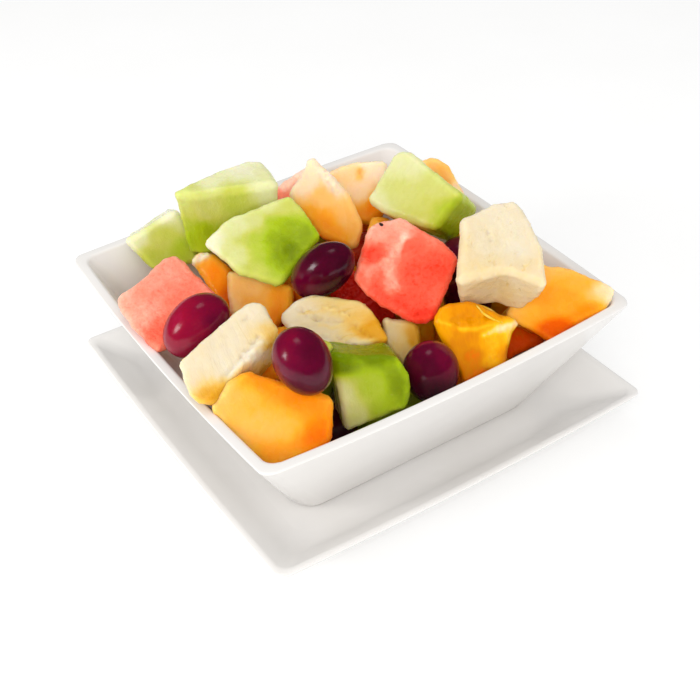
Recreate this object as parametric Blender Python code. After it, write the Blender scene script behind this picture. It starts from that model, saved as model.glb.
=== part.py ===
"""Fruit salad in a square porcelain bowl on its square saucer.

Metres, +Z up. The saucer's foot stands on z = 0 with its centre at the origin,
and both dishes lie square to X and Y. The bowl stands on the saucer, cut fruit
fills it and is heaped above its rim, and every piece of fruit that can be seen
is its own solid. Pieces that rest on each other keep a gap of about 0.3 mm.
"""

import math

import bmesh
import bpy
from mathutils import Euler, Matrix, Vector

MM = 0.001

# ---- driving dimensions, in millimetres ------------------------------------
SAUCER_HALF = 78.5          # half the side of the saucer, at its corners
SAUCER_FLOOR = 6.5          # top of the flat middle of the saucer
SAUCER_RIM = 15.4           # height of its rim at the middle of a side
SAUCER_LIFT = 1.3           # how far its corners rise above that
SAUCER_BOW = 0.8            # how far the middle of a side bows out

GAP = 0.3                   # room left between pieces that touch
BOWL_AT = (-2.0, 1.1)       # the bowl stands a little off the saucer's middle
BOWL_HALF = 75.0            # half the side of the bowl's rim, at its corners
BOWL_BASE = SAUCER_FLOOR + GAP
BOWL_RIM = 56.5             # height of the rim at the middle of a side
BOWL_LIFT = 0.8
BOWL_BOW = 2.3
FOOT_HALF = 50.5            # half the side of the bowl's foot
WALL = 3.9                  # width of the rim band and thickness of the wall

SIDE_STEPS = 6              # straight steps along each side of a dish
CORNER_STEPS = 4            # steps round each corner of a dish

CUT_EDGE = 1.4              # how far the edges of a cut piece are rounded
BLOCK_EDGE = 2.0            # the same for the plain blocks lower down
BLOCK_TAPER = 0.88          # how wide the bottom of such a block is against its top
HEWN_ANGLE = math.radians(25)   # only edges sharper than this are rounded
GRAPE_FULL = 0.06           # how much fuller a grape is towards one end

# ---- colours: base colour, roughness ---------------------------------------
COLOURS = {
    "porcelain": ((0.86, 0.85, 0.83), 0.12),
    "honeydew": ((0.62, 0.70, 0.22), 0.30),
    "cantaloupe": ((0.95, 0.42, 0.06), 0.30),
    "watermelon": ((0.93, 0.16, 0.10), 0.35),
    "pineapple": ((0.92, 0.80, 0.48), 0.35),
    "orange": ((0.93, 0.45, 0.03), 0.30),
    "grape": ((0.10, 0.005, 0.03), 0.15),
}


def clear_scene():
    for thing in list(bpy.data.objects):
        bpy.data.objects.remove(thing, do_unlink=True)


def material(kind):
    """One Principled material for each kind of surface."""
    found = bpy.data.materials.get(kind)
    if found:
        return found
    colour, roughness = COLOURS[kind]
    made = bpy.data.materials.new(kind)
    made.use_nodes = True
    shader = made.node_tree.nodes["Principled BSDF"]
    shader.inputs["Base Color"].default_value = (*colour, 1.0)
    shader.inputs["Roughness"].default_value = roughness
    shader.inputs["Metallic"].default_value = 0.0
    return made


def add_object(name, bm, kind, at=(0, 0, 0), turn=(0, 0, 0), crease=40):
    """Turn a bmesh in millimetres into a placed, smooth-shaded object in metres."""
    bmesh.ops.scale(bm, vec=(MM, MM, MM), verts=bm.verts)
    bmesh.ops.recalc_face_normals(bm, faces=bm.faces)
    mesh = bpy.data.meshes.new(name)
    bm.to_mesh(mesh)
    bm.free()
    mesh.shade_smooth()
    mesh.set_sharp_from_angle(angle=math.radians(crease))
    mesh.materials.append(material(kind))
    thing = bpy.data.objects.new(name, mesh)
    thing.location = Vector(at) * MM
    thing.rotation_euler = Euler([math.radians(a) for a in turn], "XYZ")
    bpy.context.collection.objects.link(thing)
    return thing


# ---- dishes ----------------------------------------------------------------
def square_ring(bm, half, radius, z, bow, lift):
    """A rounded square of vertices whose sides bow out and whose corners lift."""
    straight = half - radius
    ring = []
    for quarter in range(4):
        spin = Matrix.Rotation(quarter * math.pi / 2, 2)
        points = []
        for step in range(SIDE_STEPS + 1):
            along = -1 + 2 * step / SIDE_STEPS
            points.append((half, along * straight))
        for step in range(1, CORNER_STEPS):
            angle = step / CORNER_STEPS * math.pi / 2
            points.append((straight + radius * math.cos(angle),
                           straight + radius * math.sin(angle)))
        for x, y in points:
            share = min(1.0, abs(y) / half)
            out = bow * (1 - share * share)
            turned = spin @ Vector((x + out, y))
            rise = lift * (min(1.0, abs(turned.x) / half) * min(1.0, abs(turned.y) / half)) ** 2
            ring.append(bm.verts.new((turned.x, turned.y, z + rise)))
    return ring


def dish(name, profile, at):
    """A square dish from rings (half side, corner radius, z, bow, lift), closed at both ends."""
    bm = bmesh.new()
    rings = [square_ring(bm, *row) for row in profile]
    count = len(rings[0])
    for lower, upper in zip(rings, rings[1:]):
        for i in range(count):
            j = (i + 1) % count
            bm.faces.new((lower[i], lower[j], upper[j], upper[i]))
    bm.faces.new(reversed(rings[0]))
    bm.faces.new(rings[-1])
    return add_object(name, bm, "porcelain", at=(*at, 0.0))


def saucer():
    rim = (SAUCER_BOW, SAUCER_LIFT)
    edge = SAUCER_HALF
    dish("saucer", [
        (51.0, 8.0, 1.5, 0, 0),
        (52.5, 8.0, 0.0, 0, 0),
        (58.0, 8.0, 0.0, 0, 0),
        (59.5, 8.0, 1.8, 0, 0),
        (edge - 2.0, 4.0, SAUCER_RIM - 3.2, *rim),
        (edge - 0.2, 3.0, SAUCER_RIM - 1.6, *rim),
        (edge, 3.0, SAUCER_RIM - 0.6, *rim),
        (edge - 0.5, 3.0, SAUCER_RIM, *rim),
        (edge - 1.8, 3.0, SAUCER_RIM, *rim),
        (edge - 2.8, 4.0, SAUCER_RIM - 0.9, *rim),
        (64.0, 7.0, SAUCER_FLOOR + 1.6, 0.4, 0.3),
        (56.0, 8.0, SAUCER_FLOOR, 0, 0),
    ], (0.0, 0.0))


def bowl():
    inner = BOWL_HALF - WALL
    rim = (BOWL_BOW, BOWL_LIFT)
    middle = (BOWL_RIM + BOWL_BASE) / 2
    half_way = (BOWL_HALF + FOOT_HALF) / 2
    dish("bowl", [
        (42.0, 8.0, BOWL_BASE + 1.6, 0, 0),
        (43.5, 8.0, BOWL_BASE, 0, 0),
        (FOOT_HALF - 1.5, 9.0, BOWL_BASE, 0, 0),
        (FOOT_HALF, 9.0, BOWL_BASE + 1.5, 0, 0),
        (half_way, 7.0, middle, BOWL_BOW / 2, 0.3),
        (BOWL_HALF - 0.5, 4.5, BOWL_RIM - 1.6, *rim),
        (BOWL_HALF, 4.0, BOWL_RIM - 0.7, *rim),
        (BOWL_HALF - 0.7, 4.0, BOWL_RIM, *rim),
        (inner + 0.7, 4.0, BOWL_RIM, *rim),
        (inner, 4.5, BOWL_RIM - 0.7, *rim),
        (half_way - WALL, 8.0, middle, BOWL_BOW / 2, 0.3),
        (FOOT_HALF - 2.5, 9.0, BOWL_BASE + 6.0, 0, 0),
        (FOOT_HALF - 6.0, 9.0, BOWL_BASE + 4.2, 0, 0),
    ], BOWL_AT)


# ---- fruit -----------------------------------------------------------------
def chunk(name, kind, outline, depth, at, turn, taper=0.85, slip=(0, 0), edge=CUT_EDGE):
    """A hewn piece of fruit.

    outline is the piece's widest cut face, in its own plane; the piece goes back
    depth behind it, to a far face taper times as wide that has slipped sideways.
    edge is how far its edges are rounded.
    """
    bm = bmesh.new()
    front = bm.faces.new([bm.verts.new((x, y, 0.0)) for x, y in outline])
    middle = front.calc_center_median()
    back = bmesh.ops.extrude_face_region(bm, geom=[front])
    far = [v for v in back["geom"] if isinstance(v, bmesh.types.BMVert)]
    bmesh.ops.scale(bm, vec=(taper, taper, 1), space=Matrix.Translation(-middle), verts=far)
    bmesh.ops.translate(bm, vec=(slip[0], slip[1], -depth), verts=far)
    hewn = [e for e in bm.edges if e.calc_face_angle(0) > HEWN_ANGLE]
    bmesh.ops.bevel(bm, geom=hewn, offset=edge, segments=1, profile=0.5, affect="EDGES", material=-1)
    bmesh.ops.triangulate(bm, faces=bm.faces)
    return add_object(name, bm, kind, at, turn)


def block(name, kind, size, at, turn):
    """A roughly square-cut piece; at is the middle of its top face."""
    width, depth, height = size
    across, along = width / 2, depth / 2
    outline = [(-across, 0.8 * along), (0.85 * across, along),
               (across, -0.7 * along), (-0.75 * across, -along)]
    chunk(name, kind, outline, height, at, turn, taper=BLOCK_TAPER, edge=BLOCK_EDGE)


def grape(name, width, length, at, turn):
    """An oval grape, its long axis along its own Z, a little fuller at one end."""
    bm = bmesh.new()
    bmesh.ops.create_icosphere(bm, subdivisions=3, radius=1.0)
    for v in bm.verts:
        full = 1.0 + GRAPE_FULL * v.co.z * (1.0 - abs(v.co.z))
        v.co = Vector((v.co.x * width / 2 * full, v.co.y * width / 2 * full, v.co.z * length / 2))
    return add_object(name, bm, "grape", at, turn, crease=180)


def salad():
    chunk("honeydew_far_left", "honeydew",
          [(-9, 4.5), (13.5, 11), (19, -3), (16, -11), (-1, -9.5)],
          depth=14, at=(-51, 58.5, 61), turn=(62, 0, -8), slip=(2, 2))
    chunk("honeydew_big_back", "honeydew",
          [(-20.5, 0), (-12.5, 3), (11, 7.5), (16.5, 5), (15, -12), (-15, -5)],
          depth=28, at=(-20.5, 48.8, 84.5), turn=(4, 0, -8), taper=0.96, slip=(1.5, -0.5))
    chunk("honeydew_left", "honeydew",
          [(-20, 2), (-10, 11), (14.5, 16.5), (18.5, 8), (21, -4), (3, -21), (-11, -13)],
          depth=15, at=(-22.5, 21, 73), turn=(26, 0, -20), taper=0.7, slip=(2, 4))
    chunk("honeydew_right", "honeydew",
          [(-16.5, -10), (-13.5, 10.5), (-9.5, 13.5), (19, 3), (15, -12.5), (-9, -12)],
          depth=20, at=(40.5, 13, 75), turn=(44, 0, -68), taper=0.95)
    chunk("honeydew_front", "honeydew",
          [(-11.5, 13), (1, 12.5), (10.5, 12), (13.5, 6), (13, -4), (-8.5, -14.5)],
          depth=18, at=(-26.5, -55.5, 52.5), turn=(72, 0, -38), taper=0.9, slip=(-6, -1))
    chunk("watermelon_left", "watermelon",
          [(-17.5, 2.5), (-10, 9), (-2, 19), (3, 20.5), (18.5, -0.5), (-1.5, -21), (-10.5, -11)],
          depth=16, at=(-63, 18.5, 64.5), turn=(18, 0, -31), taper=0.6, slip=(8, 4))
    chunk("watermelon_big", "watermelon",
          [(-19, -2), (-11.5, 17.5), (0.5, 20), (13, 9.5),
           (19.5, 2.5), (7.5, -20.5), (1, -20.5), (-16, -8)],
          depth=22, at=(11, -23.5, 70), turn=(36, 0, -31), taper=0.72, slip=(2, 4))
    chunk("watermelon_low", "watermelon",
          [(-13, 1), (-3.5, 10), (12, -4), (12, -12), (2, -13)],
          depth=10, at=(7.5, 1, 47.5), turn=(35, 0, -31))
    chunk("watermelon_back", "watermelon",
          [(-9, -4.5), (6.5, 4.5), (12, 6.5), (11.5, -6), (1, -12.5), (-6.5, -9.5)],
          depth=12, at=(15.5, 62.5, 65), turn=(50, 0, -20))
    chunk("cantaloupe_tip", "cantaloupe",
          [(-13, 8), (-4.5, 20), (1.5, 14.5), (10, 5), (14.5, -8), (11, -16.5), (-2.5, -10)],
          depth=20, at=(13, 34, 65.5), turn=(50, 0, -31))
    chunk("cantaloupe_back", "cantaloupe",
          [(-10, 8), (0.5, 11.5), (15, 11.5), (12.5, -10.5), (4.5, -15.5), (-3.5, -10)],
          depth=20, at=(35, 49, 59.5), turn=(40, 0, -31))
    chunk("cantaloupe_far_right", "cantaloupe",
          [(-9.5, 6.5), (-3.5, 9), (2, 6.5), (10.5, -7.5), (1, -11), (-10, -1.5)],
          depth=9, at=(62, 25, 65.5), turn=(50, 0, -45), taper=0.7)
    chunk("cantaloupe_sunk_left", "cantaloupe",
          [(-9, 7), (-7, 10), (-1.5, 10.5), (8, 5), (12, -11), (8, -10)],
          depth=16, at=(-38, 37.5, 52), turn=(40, 0, -50))
    chunk("cantaloupe_left", "cantaloupe",
          [(-12.5, 11), (11.5, 3.5), (11.5, -4), (4, -12), (-11.5, -6)],
          depth=18, at=(-29.5, 11, 55.5), turn=(42, 0, -31), taper=0.75, slip=(-2, -2))
    chunk("cantaloupe_front", "cantaloupe",
          [(-19, 4), (-13.5, 11.5), (-8.5, 14.5), (10, 8), (20, 4), (19, -10), (1, -15), (-3, -13.5)],
          depth=18, at=(-60, -49, 56.5), turn=(44, 0, -31), taper=0.65, slip=(4, 3))
    chunk("cantaloupe_right", "cantaloupe",
          [(-5.5, 13.5), (6.5, 10.5), (20.5, 2.5), (15, -5.5), (-3.5, -14), (-16.5, -4.5)],
          depth=16, at=(52, -58.5, 59.5), turn=(38, 0, -31), taper=0.65, slip=(-6, 2))
    chunk("pineapple_right", "pineapple",
          [(-12, 11.5), (-1.5, 17.5), (7, 18.5), (11, 9),
           (14.5, -3), (12, -16.5), (0, -10.5), (-16.5, -14)],
          depth=22, at=(35.5, -46, 82), turn=(22, 0, -31), taper=0.7, slip=(-3, -2))
    chunk("pineapple_long", "pineapple",
          [(-17, -1), (-1, 15.5), (8, 22.5), (11.5, 21.5),
           (17, 9.5), (12, 3), (-6, -17), (-11, -14)],
          depth=14, at=(-62.5, -26.5, 67.5), turn=(16, 0, -31), taper=0.65, slip=(4, 0))
    chunk("pineapple_middle", "pineapple",
          [(-19, 3.5), (-13.5, 10), (-7.5, 12), (10, 8), (13.5, 4), (19, -9), (0, -12), (-15, -4)],
          depth=12, at=(-19, -22.5, 59.5), turn=(24, 0, -31), taper=0.7, slip=(0, 3))
    chunk("pineapple_small", "pineapple",
          [(-7, 8), (5.5, 5.5), (6.5, -2), (0.5, -11.5), (-6.5, -2)],
          depth=12, at=(1, -35.5, 51), turn=(50, 0, -31))
    chunk("orange_piece", "orange",
          [(-12.5, 9), (-8.5, 14), (1, 14.5), (15.5, 6.5), (11.5, -8), (-3, -14), (-6.5, -6)],
          depth=16, at=(15.5, -55, 54.5), turn=(45, 0, -31), taper=0.8, slip=(2, 0))
    chunk("orange_strip", "orange",
          [(-4, 5.5), (4, 4), (3.5, -4), (-3.5, -5.5)],
          depth=8, at=(17, -25.5, 39.5), turn=(45, 0, -31))
    chunk("orange_low", "orange",
          [(-4.5, 5.5), (1, 7), (6, 4.5), (10, 0), (-7, -6)],
          depth=5, at=(42, -51, 39), turn=(45, 0, -31), taper=0.6)
    chunk("orange_far", "orange",
          [(-5, 4.5), (3, 5.5), (6.5, -2), (-1.5, -5.5)],
          depth=12, at=(55, -1.5, 53.5), turn=(40, 0, -31))
    grape("grape_left", width=19, length=26, at=(-62, -2.7, 65.3), turn=(0, 60, -4))
    grape("grape_front", width=18.6, length=23.2, at=(-46.3, -47.9, 71.3), turn=(0, 45, 97))
    grape("grape_top", width=17.5, length=27, at=(-12.3, -5.2, 68.9), turn=(0, 50, -40))
    grape("grape_right", width=19.3, length=22.5, at=(-1.2, -55, 49.7), turn=(0, 0, 0))
    grape("grape_back", width=18, length=20, at=(46, -9.5, 51), turn=(0, 0, 0))
    grape("grape_low", width=18, length=20, at=(37.5, -25, 45.5), turn=(0, 0, 0))
    grape("grape_sunk", width=18.5, length=20.5, at=(-31.2, -36.2, 25), turn=(0, 0, 0))


def lower_fruit():
    """Hewn blocks that lie under and behind the heap, from the bowl's floor up."""
    block("watermelon_base_left", "watermelon", size=(35, 33, 20),
          at=(-28, 28, 34), turn=(-1, 5, 15))
    block("cantaloupe_base_back", "cantaloupe", size=(32.5, 36.5, 26),
          at=(7, 30.5, 38.5), turn=(0, -3, -6))
    block("honeydew_base_right", "honeydew", size=(30, 34, 24.5),
          at=(43, 19, 40), turn=(0, 24, -8))
    block("honeydew_base_left", "honeydew", size=(34, 32, 23),
          at=(-33.5, -8, 36.5), turn=(5, 5, -14))
    block("pineapple_base_middle", "pineapple", size=(31, 30.5, 21),
          at=(3, -5, 33), turn=(-1, 0, 30))
    block("cantaloupe_base_right", "cantaloupe", size=(26.5, 32, 23),
          at=(34, -11, 36), turn=(2, 2, -7))
    block("honeydew_base_front", "honeydew", size=(27.5, 26, 24.5),
          at=(-8.5, -36, 38), turn=(1, 6, -6))
    block("cantaloupe_base_front", "cantaloupe", size=(34.5, 24.5, 21.5),
          at=(23.5, -43, 36), turn=(16, 1, -8))
    block("cantaloupe_under_left", "cantaloupe", size=(27.5, 27.5, 15.5),
          at=(-42.5, -15.5, 52.5), turn=(5, 5, -17))
    block("honeydew_under_front", "honeydew", size=(10, 15, 23),
          at=(-37.8, -38, 65), turn=(6, 14, -74))
    block("cantaloupe_under_right", "cantaloupe", size=(27.5, 27, 11),
          at=(30.5, 9, 58.5), turn=(-13, 18, -53))
    block("cantaloupe_under_middle", "cantaloupe", size=(28.5, 22, 16),
          at=(-7, 18, 54.5), turn=(1, -6, 13))
    block("pineapple_under_back", "pineapple", size=(29, 26.5, 12.5),
          at=(-7, 48, 52), turn=(-4, -7, 23))
    block("watermelon_under_back", "watermelon", size=(28.5, 18.5, 19),
          at=(36.5, 45.5, 36), turn=(-11, 5, -7))
    block("cantaloupe_corner", "cantaloupe", size=(14, 18.5, 12),
          at=(61, 44.5, 57.5), turn=(-9, 21, -2))
    block("pineapple_back_left", "pineapple", size=(17.5, 8, 22.5),
          at=(-20.5, 65.5, 58), turn=(-21, 10, -4))
    block("orange_under_right", "orange", size=(14.5, 23.5, 25),
          at=(58.5, -26.5, 51.5), turn=(-22, 25, -3))
    block("honeydew_back_middle", "honeydew", size=(17, 14, 15.5),
          at=(21.5, 60, 52), turn=(-27, -21, -11))


def main():
    clear_scene()
    saucer()
    bowl()
    lower_fruit()
    salad()


main()
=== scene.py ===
# %% [markdown]
# # Fruit salad in a square bowl
# A square porcelain bowl stands on its saucer, heaped with chunks of melon, watermelon and pineapple,
# a piece of orange and whole red grapes. This lesson gives each of them its real surface. The plain
# solids of the part are the fixed frame: they say where everything lies and how big it is.

# %% Load the frame
import math

import bmesh
import bpy
from mathutils import Matrix, Quaternion, Vector, noise


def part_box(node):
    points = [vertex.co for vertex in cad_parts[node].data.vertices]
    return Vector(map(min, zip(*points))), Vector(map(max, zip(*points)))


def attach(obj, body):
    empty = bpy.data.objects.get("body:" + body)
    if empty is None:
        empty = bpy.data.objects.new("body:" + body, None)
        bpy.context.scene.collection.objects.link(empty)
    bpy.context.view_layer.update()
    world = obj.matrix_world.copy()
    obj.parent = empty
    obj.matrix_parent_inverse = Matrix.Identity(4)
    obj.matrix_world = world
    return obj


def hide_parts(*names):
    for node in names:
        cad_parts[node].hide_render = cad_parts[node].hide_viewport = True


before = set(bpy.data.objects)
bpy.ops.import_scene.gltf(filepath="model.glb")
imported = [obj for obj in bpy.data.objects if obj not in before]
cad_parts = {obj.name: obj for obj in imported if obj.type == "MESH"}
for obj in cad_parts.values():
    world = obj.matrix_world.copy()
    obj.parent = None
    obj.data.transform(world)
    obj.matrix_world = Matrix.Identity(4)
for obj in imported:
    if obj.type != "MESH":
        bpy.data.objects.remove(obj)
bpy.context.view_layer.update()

print("the frame holds", len(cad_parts), "solids")

# %% [markdown]
# ## Sizes and directions
# Lengths are in metres, so a millimetre gets a name of its own. The bowl is seen from its front
# corner, a little from above, and it is easiest to say where something lies on a piece of fruit
# in that view: how far across it, from left to right, and how far up it.

# %% Sizes and directions
MM = 0.001
WELD = 0.02 * MM                  # points closer than this are one point
ACROSS = Vector((0.84, -0.54, 0.0)).normalized()
UPWARD = Vector((0.37, 0.50, 0.78)).normalized()
FACING = ACROSS.cross(UPWARD)     # towards whoever looks at the bowl


def middle_of(node):
    """The middle of a solid's box."""
    low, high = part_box(node)
    return (Vector(low) + Vector(high)) / 2


def size_of(node):
    """The size of a solid's box."""
    low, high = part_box(node)
    return Vector(high) - Vector(low)


print("the bowl measures", [round(side / MM, 1) for side in size_of("bowl")], "mm")

# %% [markdown]
# ## Colours
# A colour is easiest to choose as a screen shows it, from 0 to 255, but a shader works with light,
# which a screen doesn't show in proportion. This helper turns the one into the other.


# %% A colour from its screen values
def screen(red, green, blue):
    """The colour, as light, that a screen shows for these three values."""
    light = []
    for value in (red, green, blue):
        share = value / 255
        light.append(share / 12.92 if share <= 0.04045 else ((share + 0.055) / 1.055) ** 2.4)
    return (*light, 1.0)


print("mid grey is", [round(part, 3) for part in screen(128, 128, 128)])

# %% [markdown]
# ## Writing shader maths as sums
# Nodes do sums one at a time, so a formula takes many of them. The class below wraps a socket, and
# the usual signs then add Math nodes. `1 - mask` works as well as `mask - 1`, because the reflected
# forms are there too.


# %% A socket that can be reckoned with
class Wire:
    """The output of a node. Sums with it add Math nodes to the same finish."""

    def __init__(self, finish, socket):
        self.finish = finish
        self.socket = socket

    def maths(self, operation, *terms):
        return self.finish.add("ShaderNodeMath", {"operation": operation}, dict(enumerate(terms)))

    def __add__(self, other):
        return self.maths("ADD", self, other)

    def __sub__(self, other):
        return self.maths("SUBTRACT", self, other)

    def __rsub__(self, other):
        return self.maths("SUBTRACT", other, self)

    def __mul__(self, other):
        return self.maths("MULTIPLY", self, other)

    __radd__ = __add__
    __rmul__ = __mul__

    def between(self, low, high):
        """0 below low, 1 above high, and a smooth slope from the one to the other."""
        settings = {"interpolation_type": "SMOOTHSTEP"}
        sockets = {"Value": self, "From Min": low, "From Max": high}
        return self.finish.add("ShaderNodeMapRange", settings, sockets)


print("sockets can be added, subtracted and multiplied")

# %% [markdown]
# ## One method for every other node
# A finish is a material being made. Its `add` method takes a node's type, its settings and what
# goes into its sockets, and gives back the output as a `Wire`. Settings go first, because some of
# them change which sockets the node has.


# %% A material being made
class Finish:
    """A Principled material, with methods that add nodes to it."""

    def __init__(self, name, **constants):
        self.material = bpy.data.materials.new(name)
        self.material.use_nodes = True
        self.tree = self.material.node_tree
        self.shader = self.tree.nodes["Principled BSDF"]
        self.surface(**constants)

    def surface(self, **sockets):
        """Sets or plugs sockets of the shader, with _ for the space in their names."""
        for name, value in sockets.items():
            self.plug(self.shader.inputs[name.replace("_", " ")], value)

    def add(self, kind, settings=None, sockets=None, output=0):
        node = self.tree.nodes.new(kind)
        for name, value in (settings or {}).items():
            if name == "stops":
                self.fill_ramp(node.color_ramp, value)
            else:
                setattr(node, name, value)
        for name, value in (sockets or {}).items():
            self.plug(self.find(node.inputs, name), value)
        return Wire(self, self.find(node.outputs, output))

    def find(self, sockets, name):
        """A socket by its number, its identifier or its name."""
        if isinstance(name, int):
            return sockets[name]
        for socket in sockets:
            if socket.identifier == name:
                return socket
        return sockets[name]

    def plug(self, socket, value):
        if isinstance(value, Wire):
            self.tree.links.new(value.socket, socket)
        else:
            socket.default_value = value

    def fill_ramp(self, ramp, stops):
        """Sets a colour ramp's stops, each a place from 0 to 1 and a colour."""
        while len(ramp.elements) < len(stops):
            ramp.elements.new(0.5)
        for element, (place, colour) in zip(ramp.elements, stops):
            element.position = place
            element.color = colour

    def ramp(self, share, stops):
        """The colour that lies at this share of a colour ramp."""
        return self.add("ShaderNodeValToRGB", {"stops": stops}, {"Fac": share})

    def where(self):
        """The point of the surface, in metres."""
        return self.add("ShaderNodeTexCoord", output="Object")

    def stored(self, name, output="Fac"):
        """A value that the mesh holds at each of its points."""
        return self.add("ShaderNodeAttribute", {"attribute_name": name}, output=output)

    def noise(self, place, size, detail=2.0, rough=0.5):
        """Soft noise from 0 to 1, its lumps about as wide as size."""
        sockets = {"Vector": place, "Scale": 1 / size, "Detail": detail, "Roughness": rough}
        return self.add("ShaderNodeTexNoise", None, sockets)

    def noise_colour(self, place, size):
        """Three noises at once, to bend a pattern with."""
        sockets = {"Vector": place, "Scale": 1 / size}
        return self.add("ShaderNodeTexNoise", None, sockets, "Color")

    def cells(self, place, size, feature="F1"):
        """The distance to the middle, or to the edge, of cells about as wide as size."""
        sockets = {"Vector": place, "Scale": 1 / size}
        return self.add("ShaderNodeTexVoronoi", {"feature": feature}, sockets)

    def mix(self, share, first, second):
        """The first colour where share is 0, the second where it is 1."""
        sockets = {"Factor_Float": share, "A_Color": first, "B_Color": second}
        return self.add("ShaderNodeMix", {"data_type": "RGBA"}, sockets, "Result_Color")

    def bump(self, height, depth):
        """Relief of the surface: height 1 stands depth metres above height 0."""
        self.surface(Normal=self.add("ShaderNodeBump", None, {"Height": height, "Distance": depth}))


print("finishes can be made")

# %% [markdown]
# ## Porcelain
# White porcelain is a dense white body under clear glaze. It is hardly ever quite white: the glaze
# pools a little and the body warms it. Very weak, wide noise in the colour and the roughness keeps
# the big plain walls from looking like plastic.


# %% Porcelain
def porcelain():
    glaze = Finish("glazed porcelain", IOR=1.5)
    place = glaze.where()
    cloud = glaze.noise(place, 40 * MM, detail=3.0)
    glaze.surface(Base_Color=glaze.mix(cloud, screen(229, 227, 225), screen(224, 221, 217)),
                  Roughness=0.10 + 0.08 * glaze.noise(place, 12 * MM))
    ripple = glaze.noise(place, 22 * MM, detail=1.0)
    glaze.bump(ripple, 0.15 * MM)
    return glaze.material


PORCELAIN = porcelain()
print("made", PORCELAIN.name)

# %% [markdown]
# ## The dishes
# Both dishes are squares with round corners, sides that bow out a little and corners that lift.
# A box with its corners rounded would lose that. Instead a circle of points is pushed out to the
# shape at each height of the wall, and the loops are joined with `bridge_loops`.

# %% Loops for a dish
SIDE_STEPS = 16                   # straight steps along a side
CORNER_STEPS = 8                  # steps round a corner
LOOP_STEPS = 4 * (SIDE_STEPS + CORNER_STEPS)


def square_loop(bm, middle, half, corner, height, bow, lift):
    """A circle of points pushed out to a square of this half side, and its edges."""
    points = bmesh.ops.create_circle(bm, segments=LOOP_STEPS, radius=half)["verts"]
    straight = half - corner
    for number, point in enumerate(points):
        quarter, step = divmod(number, SIDE_STEPS + CORNER_STEPS)
        if step <= SIDE_STEPS:
            x, y = half, straight * (2 * step / SIDE_STEPS - 1)
        else:
            angle = (step - SIDE_STEPS) / CORNER_STEPS * math.pi / 2
            x, y = straight + corner * math.cos(angle), straight + corner * math.sin(angle)
        x += bow * (1 - min(1.0, abs(y) / half) ** 2)
        place = Matrix.Rotation(quarter * math.pi / 2, 2) @ Vector((x, y))
        rise = lift * (min(1.0, abs(place.x) / half) * min(1.0, abs(place.y) / half)) ** 2
        point.co = (middle.x + place.x, middle.y + place.y, height + rise)
    return points, list({edge for point in points for edge in point.link_edges})


print("a loop has", LOOP_STEPS, "points")

# %% [markdown]
# A dish is described by its few sharp turns, from the middle of its foot out and up to the rim and
# down inside. Glaze rounds every turn, so each is replaced by a short curve: its ends lie a little
# way along the two neighbouring lines, and the turn itself pulls the curve outwards.

# %% Rounded turns
TURN_STEPS = 5                    # points on each rounded turn


def rounded(turns):
    """The rows for the loops: every turn's last number says how widely it is rounded."""
    rows = [Vector(turns[0][:-1])]
    for before, turn, after in zip(turns, turns[1:], turns[2:]):
        corner, reach = Vector(turn[:-1]), turn[-1]
        ends = []
        for neighbour in (before, after):
            line = Vector(neighbour[:-1]) - corner
            length = math.hypot(line[0], line[2])
            ends.append(corner + line * min(0.5, reach / length))
        for step in range(TURN_STEPS):
            t = step / (TURN_STEPS - 1)
            rows.append(ends[0] * (1 - t) ** 2 + corner * 2 * t * (1 - t) + ends[1] * t ** 2)
    return rows + [Vector(turns[-1][:-1])]


print("each turn gets", TURN_STEPS, "points")


# %% From a bmesh to a shown piece
PIECES = {}                       # the shown piece for each solid


def placed(name, bm):
    """Turns a bmesh into an object of the scene."""
    mesh = bpy.data.meshes.new(name)
    bm.to_mesh(mesh)
    bm.free()
    thing = bpy.data.objects.new(name, mesh)
    bpy.context.collection.objects.link(thing)
    return thing


def added(name, bm, material):
    """Turns a bmesh into a shown piece beside those that stand for solids."""
    piece = placed(name, bm)
    piece.data.shade_smooth()
    piece.data.materials.append(material)
    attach(piece, "root")
    return piece


def finished(name, bm, material, node):
    """Turns a bmesh into the shown piece that stands for this solid."""
    piece = added(name, bm, material)
    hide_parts(node)
    PIECES[node] = piece
    return piece


print("a bmesh can be made a piece")


# %% A dish from its turns
def dish(name, node, turns):
    """The porcelain piece for a solid, with a loop at each row of its rounded outline."""
    bm = bmesh.new()
    made = [square_loop(bm, middle_of(node), *row) for row in rounded(turns)]
    for (_, lower), (_, upper) in zip(made, made[1:]):
        bmesh.ops.bridge_loops(bm, edges=lower + upper)
    for points, _ in (made[0], made[-1]):
        bmesh.ops.contextual_create(bm, geom=points)
    bmesh.ops.recalc_face_normals(bm, faces=bm.faces)
    return finished(name, bm, PORCELAIN, node)


print("ready to make dishes")

# %% [markdown]
# ## The saucer
# Its middle is flat, its four wings rise to a thin rim, and it stands on a low square foot ring.
# Every row is a turn of its outline: half its side, its corner's radius, its height, how far its
# sides bow, how far its corners lift and how widely the turn is rounded.

# %% The saucer
SAUCER_LIFT = 1.3 * MM
SAUCER_BOW = 0.8 * MM
saucer_half = size_of("saucer").x / 2 - SAUCER_BOW
saucer_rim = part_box("saucer")[1][2] - SAUCER_LIFT
rise = (SAUCER_BOW, SAUCER_LIFT)

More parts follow.
